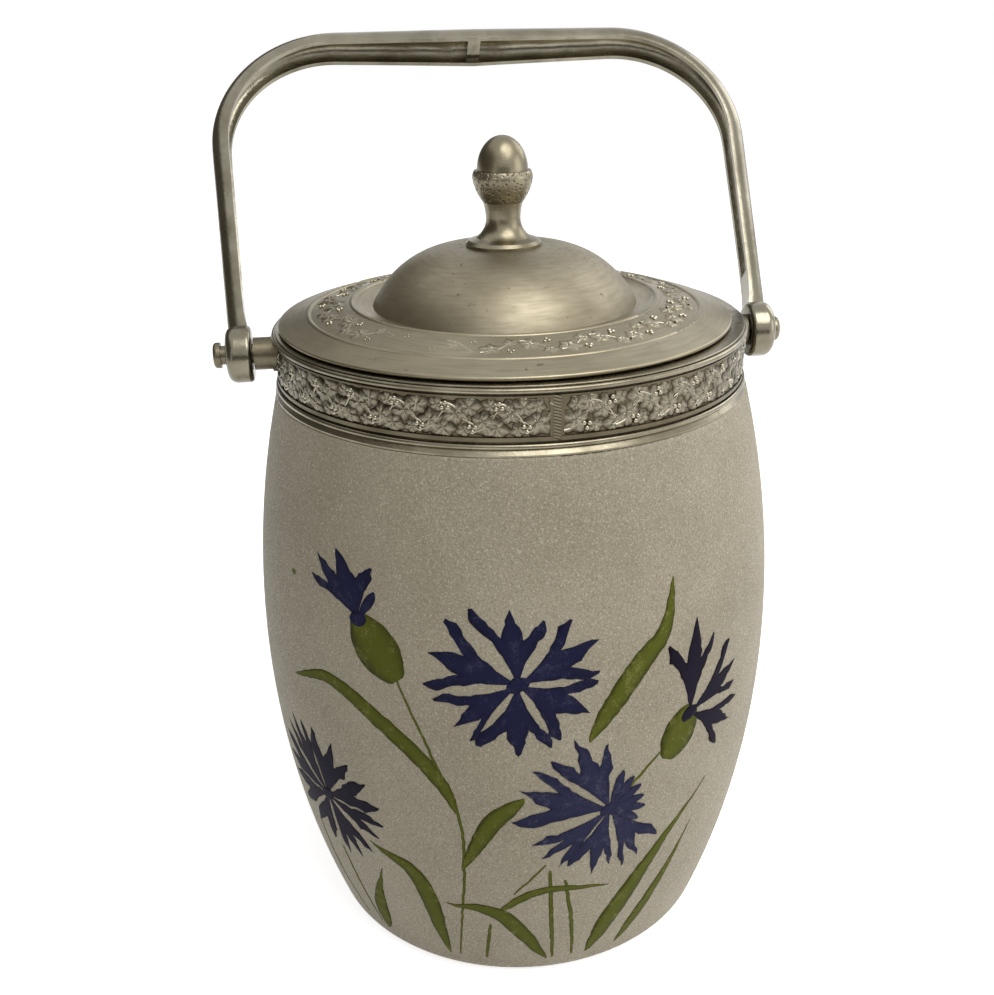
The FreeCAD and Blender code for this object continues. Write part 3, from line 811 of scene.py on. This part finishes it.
def painted_greenery():
    bm = bmesh.new()
    layer = bm.verts.layers.float.new("edge")
    for number, (points, width, belly) in enumerate(LEAVES):
        stroke(bm, layer, points, width, LEAF_LIFT + LEAF_LIFT_STEP * (number % 3), 0.05, belly)
    for points, width in STEMS:
        stroke(bm, layer, points, width, STEM_LIFT, 0.6)
    for top, foot, width in CUPS:
        short_stroke(bm, layer, top, foot, width, CUP_LIFT, 0.3)
    finished(bm, "painted_greenery", "jar", LEAF_ENAMEL, LEAF_FILM)


painted_greenery()

# %% [markdown]
# ## Pressed ivy
#
# The collar's strips and the lid's ring were pressed with an ivy scroll: five-lobed leaves, groups of
# three berries and a running stem. Displacing the metal would need a very fine mesh all round, so each
# leaf is a small grid bent into a disc, its rim sunk in the ground and its middle raised and creased.
# A function for the ground, such as surface(x, y, lift), says where on the metal it lies.

# %% An ivy leaf
LEAF_COLUMNS = 30
LEAF_ROWS = 5
SUNK_RIM = 0.08
VEIN_DEPTH = 0.38
VEIN_WIDTH = 0.3
WIDE_FIELD = 9.0


def upwards(surface, x, y):
    """The way the ground faces at a spot."""
    return surface(x, y, 1.0) - surface(x, y, 0.0)


def ivy_leaf(bm, layer, surface, centre, size, heading, rise, field=WIDE_FIELD):
    """x and y are millimetres on the ground. The die trimmed what would leave the field."""
    heart = Vector(centre)

    def place(across, along):
        turn = math.pi * across
        lobe = 1 - abs(math.sin(2.5 * turn))
        outline = (0.72 + 0.28 * lobe) * (0.84 + 0.16 * math.cos(turn))
        crown = (1 - along ** 3) * (0.5 + 0.5 * lobe) * (0.7 + 0.3 * along)
        vein = VEIN_DEPTH * math.exp(-((1 - lobe) / VEIN_WIDTH) ** 2) * math.sin(math.pi * along)
        crest = max(crown - vein, 0.0)
        arm = Vector((math.cos(turn + heading), math.sin(turn + heading)))
        spot = heart + arm * size * outline * along
        trimmed = min(max(spot.y, -field), field)
        return surface(spot.x, trimmed, rise * crest - SUNK_RIM), crest

    patch(bm, LEAF_COLUMNS, LEAF_ROWS, place, layer, lambda here: upwards(surface, *centre))


print("ivy leaf ready")

# %% [markdown]
# Berries are little balls, an icosphere each, because its faces are even and it has no poles to pinch.
# Stems are half-round ribs that thin towards their end. Both keep a crest value for the leaves' finish.
# On a stem it is the height, which the finish rubs bright, but on a berry it is painted light: a
# painted highlight on the side that faces out and up, and painted shade on the other.

# %% Berries and raised stems
BERRY_SINK = 0.15
STEM_COLUMNS = 4
SUNK_STEM = 0.05


def berry(bm, layer, surface, spot, size):
    base = surface(spot[0], spot[1], BERRY_SINK * size)
    # painted light: each berry is painted bright on its side towards this way, out from the jar and up,
    # and dark on the side away from it
    light = from_axis(base) + Vector((0, 0, 0.4))
    for corner in bmesh.ops.create_icosphere(bm, subdivisions=2, radius=size * MM)["verts"]:
        # painted highlight and painted shade by the side's direction
        corner[layer] = 0.55 + 0.45 * corner.co.normalized().dot(light)
        corner.co += base


def raised_stem(bm, layer, surface, curve, width, rise, rows):
    """Half-round stem along curve(share), which gives a spot on the ground."""
    def place(across, along):
        here = Vector(curve(along))
        ahead = Vector(curve(min(along + LOOK_AHEAD, 1.0)))
        behind = Vector(curve(max(along - LOOK_AHEAD, 0.0)))
        run = ahead - behind
        side = Vector((-run.y, run.x)).normalized()
        taper = 1 - 0.5 * along
        crest = max(1 - across * across, 0.0)
        spot = here + side * 0.5 * width * across * taper
        return surface(spot.x, spot.y, rise * taper * math.sqrt(crest) - SUNK_STEM), crest

    patch(bm, STEM_COLUMNS, rows, place, layer, lambda here: upwards(surface, *curve(0.5)))


print("berry and stem ready")

# %% [markdown]
# On the collar the ground is the strip between its ledge and its top frame, and the strips' ends are
# turned a little to the right of the front, where a cover hides the join. The strip's box in the frame
# gives the field's height, and the ground is that cylinder unrolled: x round it and y up.

# %% The collar's ground
COLLAR_CENTRE = -0.2
STRIP_REACH = 55.35
FRIEZE_TURN = math.radians(2.3)
LEDGE = 0.85
TOP_FRAME = 0.4
STRIP_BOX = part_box("frieze_strip_right")
STRIP_FOOT = STRIP_BOX[0].z / MM + LEDGE
STRIP_HEAD = STRIP_BOX[1].z / MM - TOP_FRAME
FIELD_MIDDLE = 0.5 * (STRIP_FOOT + STRIP_HEAD)
FIELD_HALF = 0.5 * (STRIP_HEAD - STRIP_FOOT)


def collar_ground(x, y, lift):
    """x runs round the collar from the front cover, y up from the middle of the field."""
    turn = x / STRIP_REACH + FRIEZE_TURN
    reach = STRIP_REACH + lift
    east = COLLAR_CENTRE + reach * math.sin(turn)
    return Vector((east, -reach * math.cos(turn), FIELD_MIDDLE + y)) * MM


print("frieze field mm", round(STRIP_FOOT, 2), round(STRIP_HEAD, 2))

# %% [markdown]
# Leaves sit by turns low and high along a waving stem, with smaller leaves, tendrils and berries in the
# spaces. A die would repeat them exactly, but leaves that all point one way look stamped by a computer,
# so each turns by a seeded random amount. They stop clear of the lugs, where the metal is plain.

# %% Ivy round the collar
LEAVES_PER_STRIP = 31
END_MARGIN = 1.2
LEAF_CLEARANCE = 6.5
SPRAY_CLEARANCE = 8.0
BERRY_SPOTS = ((-0.62, -0.3), (0.62, -0.2), (0.05, 0.8))


def crossing_stem(x, up):
    """Runs from one side of the field to the other in a bow."""
    return lambda share: (x - 2.6 + 6.5 * share,
                          up * (3.1 - 6.2 * share + 1.6 * math.sin(math.pi * share)))


def tendril(x, up):
    return lambda share: (x + 2.4 + 1.5 * math.sin(4.2 * share), up * (-3.0 + 3.0 * share))


def collar_spray(bm, layer, x, up, side, pitch, heading):
    """What fills the space after a leaf: two smaller leaves, three berries and two stems."""
    first = (x + side * 0.5 * pitch, -2.2 * up)
    second = (x + side * 0.72 * pitch, 2.5 * up)
    ivy_leaf(bm, layer, collar_ground, first, 4.0, heading, 0.8, FIELD_HALF)
    ivy_leaf(bm, layer, collar_ground, second, 2.7, -heading, 0.6, FIELD_HALF)
    for dx, dy in BERRY_SPOTS:
        berry(bm, layer, collar_ground, (x + side * 0.4 * pitch + dx, 2.2 * up + dy * up), 0.6)
    raised_stem(bm, layer, collar_ground, crossing_stem(x, up), 0.8, 0.6, 10)
    raised_stem(bm, layer, collar_ground, tendril(x, up), 0.6, 0.5, 9)


def collar_ivy(name, side):
    """One strip's ivy. side is 1 for the right strip and -1 for the left one."""
    chance = random.Random(7 + side)
    bm = bmesh.new()
    layer = bm.verts.layers.float.new("crest")
    run = math.pi * STRIP_REACH
    pitch = (run - 2 * END_MARGIN) / LEAVES_PER_STRIP
    corner = (side * (END_MARGIN + 0.5 * pitch), 2.2)
    ivy_leaf(bm, layer, collar_ground, corner, 3.2, math.radians(90 - 50 * side), 0.8, FIELD_HALF)
    for number in range(LEAVES_PER_STRIP):
        x = side * (END_MARGIN + (number + 0.5) * pitch)
        up = 1 if number % 2 else -1
        from_lug = abs(abs(x + FRIEZE_TURN * STRIP_REACH) - 0.5 * run)
        if from_lug > LEAF_CLEARANCE:
            heading = math.radians(90 * up + chance.uniform(-38, 38) - 25 * side)
            size = 4.5 + chance.uniform(-0.4, 0.1)
            ivy_leaf(bm, layer, collar_ground, (x, 0.8 * up), size, heading, 1.05, FIELD_HALF)
        if from_lug > SPRAY_CLEARANCE and number < LEAVES_PER_STRIP - 1:
            heading = math.radians(-90 * up + chance.uniform(-30, 30))
            collar_spray(bm, layer, x, up, side, pitch, heading)
    finished(bm, name, "jar", COLLAR_IVY)


collar_ivy("collar_ivy_right", 1)
collar_ivy("collar_ivy_left", -1)

# %% [markdown]
# On the lid the ground is the flange between its two raised rings, and it slopes up towards the dome.
# The rings' places come from the flange's box, with the same insets as in the solid model. A leaf's
# lift is taken square to the slope, so that it stands off the metal evenly.

# %% The lid's ground
OUTER_RING_INSET = 7.2
INNER_RING_INSET = 17.5
HALF_RING = 0.65
LID_GAP = 0.25
LID_EDGE = 1.0
RISE_OUTER = 1.75
RISE_INNER = 3.85
LID_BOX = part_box("lid_flange")
LID_RADIUS = 0.5 * (LID_BOX[1].x - LID_BOX[0].x) / MM
RING_OUTER = LID_RADIUS - OUTER_RING_INSET - HALF_RING
RING_INNER = LID_RADIUS - INNER_RING_INSET + HALF_RING
FLANGE_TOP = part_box("collar_band")[1].z / MM + LID_GAP + LID_EDGE
LID_BAND = 0.5 * (RING_OUTER + RING_INNER)
LID_SLOPE = math.atan2(RISE_INNER - RISE_OUTER, RING_OUTER - RING_INNER)


def lid_ground(x, y, lift):
    """x runs round the lid from the front, y from the middle of the band out towards the edge."""
    turn = x / LID_BAND
    reach = LID_BAND + y
    share = (RING_OUTER - reach) / (RING_OUTER - RING_INNER)
    height = FLANGE_TOP + RISE_OUTER + (RISE_INNER - RISE_OUTER) * share + lift * math.cos(LID_SLOPE)
    reach += lift * math.sin(LID_SLOPE)
    return Vector((LID_CENTRE / MM + reach * math.sin(turn), -reach * math.cos(turn), height)) * MM


print("lid field mm", round(RING_INNER, 2), round(RING_OUTER, 2))

# %% [markdown]
# The lid's ivy is finer than the collar's and rubbed nearly away on the left of the front, where a hand
# steadied the lid. A mask in the finish would only fade the colour, so the rise of each leaf and the
# size of its berries fall with the turn, and the pattern sinks into the metal as the real one does.

# %% Ivy round the lid
LID_LEAVES = 32
LID_RISE = 0.95
LID_BERRY_SPOTS = ((-0.5, 0.0), (0.5, 0.2), (0.0, 0.9))
WORN_TURN = -36
WORN_WIDTH = 34
WORN_SHARE = 0.92


def kept_relief(turn):
    """1 where the pressing is whole, and near 0 where it is worn away. turn is in degrees."""
    round_from_front = (turn + 180) % 360 - 180
    return 1 - WORN_SHARE * math.exp(-((round_from_front - WORN_TURN) / WORN_WIDTH) ** 2)


def lid_stem(x, up):
    return lambda share: (x - 2.0 + 6.5 * share,
                          up * (2.2 - 4.6 * share + 1.2 * math.sin(math.pi * share)))


def lid_ivy():
    chance = random.Random(11)
    bm = bmesh.new()
    layer = bm.verts.layers.float.new("crest")
    for number in range(LID_LEAVES):
        x = 2 * math.pi * LID_BAND * number / LID_LEAVES
        kept = kept_relief(math.degrees(x / LID_BAND))
        rise = LID_RISE * kept
        up = 1 if number % 2 else -1
        size = 3.4 + chance.uniform(-0.3, 0.3)
        heading = math.radians(90 * up + chance.uniform(-50, 50))
        ivy_leaf(bm, layer, lid_ground, (x, 0.7 * up), size, heading, rise)
        ivy_leaf(bm, layer, lid_ground, (x + 4.0, -1.6 * up), 2.5, -heading, rise * 0.8)
        for dx, dy in LID_BERRY_SPOTS:
            berry(bm, layer, lid_ground, (x + 4.0 + dx, up * (1.6 + dy)), 0.1 + 0.36 * kept)
        raised_stem(bm, layer, lid_ground, lid_stem(x, up), 0.6, rise * 0.45, 8)
    finished(bm, "lid_ivy", "lid", LID_IVY)


lid_ivy()

# %% [markdown]
# ## Studio
#
# The jar stands on a pale floor that runs into white. A plain white floor would either glow or go grey,
# so one material does both: light that gathers on it finds a pale matt surface, which keeps the soft
# shadow, and the camera and reflections find white.

# %% The white floor's finish
WHITE = (1, 1, 1, 1)
FLOOR_GLOW = 0.8


def studio_white():
    white = Finish("studio white", Base_Color=tone(236, 236, 236), Roughness=0.9)
    lit = Value(white, white.shader.outputs[0])
    glow = white.node("ShaderNodeEmission", {}, {"Color": WHITE, "Strength": FLOOR_GLOW})
    both = white.node("ShaderNodeAddShader", {}, {0: lit, 1: glow})
    mixed = white.node("ShaderNodeMixShader", {}, {0: white.looked_at(), 1: lit, 2: both})
    white.tree.links.new(mixed.socket, white.tree.nodes["Material Output"].inputs["Surface"])
    return white.material


FLOOR_WHITE = studio_white()
print("made", FLOOR_WHITE.name)

# %% [markdown]
# Polished metal shows its form only by what it reflects, and in an all-white room it goes flat. A
# photographer puts grey cards outside the picture, and so does this scene: three of them, to the left,
# in front and behind. Only reflections see them, so they cast no shadow and take no light away.

# %% Floor and grey cards
JAR_MIDDLE = (0, 0, 0.1)
GREY_CARD = Finish("grey card", Base_Color=tone(60, 57, 50), Roughness=0.9,
                   Emission_Color=tone(96, 92, 84), Emission_Strength=1.0).material


def stage_card(name, size, place, material, aim=None):
    """A flat card. With an aim it turns towards it and shows in reflections alone."""
    bm = bmesh.new()
    bmesh.ops.create_grid(bm, x_segments=1, y_segments=1, size=0.5)
    mesh = bpy.data.meshes.new(name)
    bm.to_mesh(mesh)
    bm.free()
    mesh.materials.append(material)
    card = bpy.data.objects.new(name, mesh)
    bpy.context.scene.collection.objects.link(card)
    card.scale = (size[0], size[1], 1)
    card.location = place
    if aim:
        card.rotation_euler = (Vector(aim) - Vector(place)).to_track_quat("Z", "Y").to_euler()
        card.visible_camera = False
        card.visible_diffuse = False
        card.visible_shadow = False


stage_card("floor", (6, 6), (0, 0, -0.2 * MM), FLOOR_WHITE)
stage_card("card_left", (1.0, 0.9), (-0.75, -0.1, 0.35), GREY_CARD, JAR_MIDDLE)
stage_card("card_front", (1.2, 0.45), (-0.1, -0.95, 0.12), GREY_CARD, JAR_MIDDLE)
stage_card("card_rear", (1.3, 0.9), (-0.72, 0.95, 0.6), GREY_CARD, JAR_MIDDLE)
print("floor and three cards placed")

# %% [markdown]
# One broad lamp stands high in front, a little to the right, and gives the glass its fall of light and
# the dome its highlight. A weaker one on the right lifts that side, and one behind draws a pale line
# along the handle. Broad discs give the soft edges that small lamps can't.

# %% Lamps
def soft_lamp(name, place, size, power):
    light = bpy.data.lights.new(name, "AREA")
    light.shape = "DISK"
    light.size = size
    light.energy = power
    lamp = bpy.data.objects.new(name, light)
    bpy.context.scene.collection.objects.link(lamp)
    lamp.location = place
    lamp.rotation_euler = (Vector(JAR_MIDDLE) - Vector(place)).to_track_quat("-Z", "Y").to_euler()


soft_lamp("key_lamp", (0.26, -0.44, 1.0), 0.8, 6.4)
soft_lamp("side_lamp", (0.85, -0.3, 0.35), 0.6, 1.2)
soft_lamp("rim_lamp", (0.7, 0.45, 0.6), 0.6, 1.6)
print("three lamps placed")

# %% [markdown]
# Soft light comes from all round as well. The world is white where something looks at it, but as a
# lamp at that strength it would wash out every shadow, so the rays that gather light see it dimmer.

# %% Soft world
WORLD_LIGHT = 0.26


def soft_world():
    world = bpy.data.worlds.new("soft studio")
    bpy.context.scene.world = world
    world.use_nodes = True
    network = Network(world.node_tree)
    strength = network.looked_at() * (1 - WORLD_LIGHT) + WORLD_LIGHT
    sky = network.tree.nodes["Background"]
    sky.inputs["Color"].default_value = WHITE
    network.tree.links.new(strength.socket, sky.inputs["Strength"])


soft_world()
bpy.context.scene.view_settings.view_transform = "Standard"
print("world ready")

# %% [markdown]
# ## Camera
#
# The photograph was taken from a little above and a little to the left, close enough for some
# perspective. A camera set by eye would never line up, so the standpoint, focal length and roll were
# solved from the jar's outline. The picture's centre is not the lens's centre, which a shift repeats.

# %% Camera at the photograph's angle
PICTURE_WIDTH = 994
PICTURE_HEIGHT = 995
FOCAL_PIXELS = 1210.66
LENS_CENTRE = (514.1, 574.9)
SENSOR = 36.0
NEAREST = 0.01
STANDPOINT = Vector((-0.0372, -0.2854, 0.22975))
AIM = Vector((0, 0, 0.09))
ROLL = math.radians(0.848)


def photo_camera():
    data = bpy.data.cameras.new("photo camera")
    data.sensor_fit = "HORIZONTAL"
    data.sensor_width = SENSOR
    data.lens = FOCAL_PIXELS / PICTURE_WIDTH * SENSOR
    data.shift_x = (PICTURE_WIDTH / 2 - LENS_CENTRE[0]) / PICTURE_WIDTH
    data.shift_y = (LENS_CENTRE[1] - PICTURE_HEIGHT / 2) / PICTURE_WIDTH
    data.clip_start = NEAREST
    camera = bpy.data.objects.new("photo camera", data)
    bpy.context.scene.collection.objects.link(camera)
    aimed = (AIM - STANDPOINT).to_track_quat("-Z", "Y").to_matrix().to_4x4()
    camera.matrix_world = Matrix.Translation(STANDPOINT) @ aimed @ Matrix.Rotation(-ROLL, 4, "Z")
    bpy.context.scene.camera = camera
    print("lens mm", round(data.lens, 2), "shift", round(data.shift_x, 4), round(data.shift_y, 4))


photo_camera()
